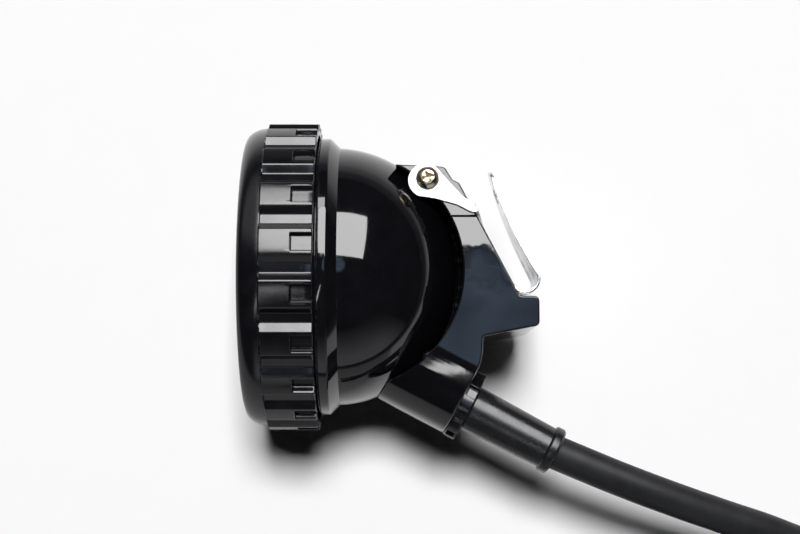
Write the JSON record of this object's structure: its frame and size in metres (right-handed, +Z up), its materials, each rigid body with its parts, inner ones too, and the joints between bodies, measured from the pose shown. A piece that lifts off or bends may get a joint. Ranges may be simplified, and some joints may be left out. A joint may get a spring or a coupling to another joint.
{
  "type": "miner's cap lamp",
  "caption": "Corded miner's cap lamp headpiece: round bell with a ribbed bayonet bezel, base casing with rotary switch, sheet steel cap hook and cable.",
  "frame": {"origin": "middle of the switch knob's flat end, on the surface the lamp lies on", "axes": "-X is the way the light leaves along the optical axis, +Z is up from the surface, +Y is the side the hook's tip points to"},
  "size_m": [0.178, 0.2236, 0.076],
  "materials": {
    "bezel_plastic": "gloss black moulded plastic, ribbed grip band",
    "shell_plastic": "gloss black moulded plastic",
    "knob_plastic": "gloss black moulded plastic",
    "nut_plastic": "gloss black moulded nylon",
    "plug_plastic": "satin black moulded plastic",
    "clear_lens": "clear polycarbonate",
    "seal_rubber": "black rubber",
    "sleeve_rubber": "semi-gloss moulded rubber",
    "cable_rubber": "matt dark grey rubber jacket",
    "mirror_coat": "vacuum metallised",
    "hook_steel": "bright stainless sheet",
    "plated_screw": "nickel plated brass",
    "zinc_steel": "zinc plated steel",
    "contact_brass": "brass",
    "sink_aluminium": "cast aluminium",
    "board_white": "white solder mask",
    "board_green": "green solder mask",
    "contact_board": "phenolic board",
    "led_phosphor": "yellow phosphor dome",
    "led_clear": "clear epoxy",
    "rotor_plastic": "natural nylon",
    "wire_red": "red insulation",
    "wire_blue": "blue insulation"
  },
  "bodies": {
    "headpiece": {"lens": "clear_lens", "lens_gasket": "seal_rubber", "reflector": "mirror_coat", "led_board": "board_white", "main_led": "led_phosphor", "side_leds": "led_clear", "heat_sink": "sink_aluminium", "driver_board": "board_green", "engine_screws": "zinc_steel", "bell_shell": "shell_plastic", "base_casing": "shell_plastic", "switch_cover": "shell_plastic", "cover_screws": "zinc_steel", "cap_hook": "hook_steel", "hook_screws": "plated_screw", "hook_inserts": "contact_brass", "gland_nut": "nut_plastic", "gland_washer": "contact_brass", "gland_seal": "seal_rubber", "strain_relief": "sleeve_rubber", "cable_tail": "cable_rubber", "lead_wires": "wire_red", "switch_wires": "wire_blue", "contact_plate": "contact_board", "fixed_contacts": "contact_brass", "shaft_seal": "seal_rubber", "cord_lead": "cable_rubber", "cord_coil": "cable_rubber", "cord_tail": "cable_rubber", "plug_boot": "sleeve_rubber", "plug_body": "plug_plastic", "plug_pins": "contact_brass"},
    "bezel": {"bezel_ring": "bezel_plastic"},
    "switch": {"switch_knob": "knob_plastic", "switch_shaft": "zinc_steel", "grub_screw": "zinc_steel", "shaft_clip": "zinc_steel", "switch_rotor": "rotor_plastic", "wiper_contact": "contact_brass"}
  },
  "joints": [
    {"name": "bezel_turn", "type": "hinge", "parent": "headpiece", "child": "bezel", "pos_m": [-0.0365, 0.006, 0.038], "axis": [1, 0, 0], "range_deg": [0, 45]},
    {"name": "switch_turn", "type": "hinge", "parent": "headpiece", "child": "switch", "pos_m": [0, 0, 0], "axis": [0, 0, 1], "range_deg": [-90, 90]}
  ]
}
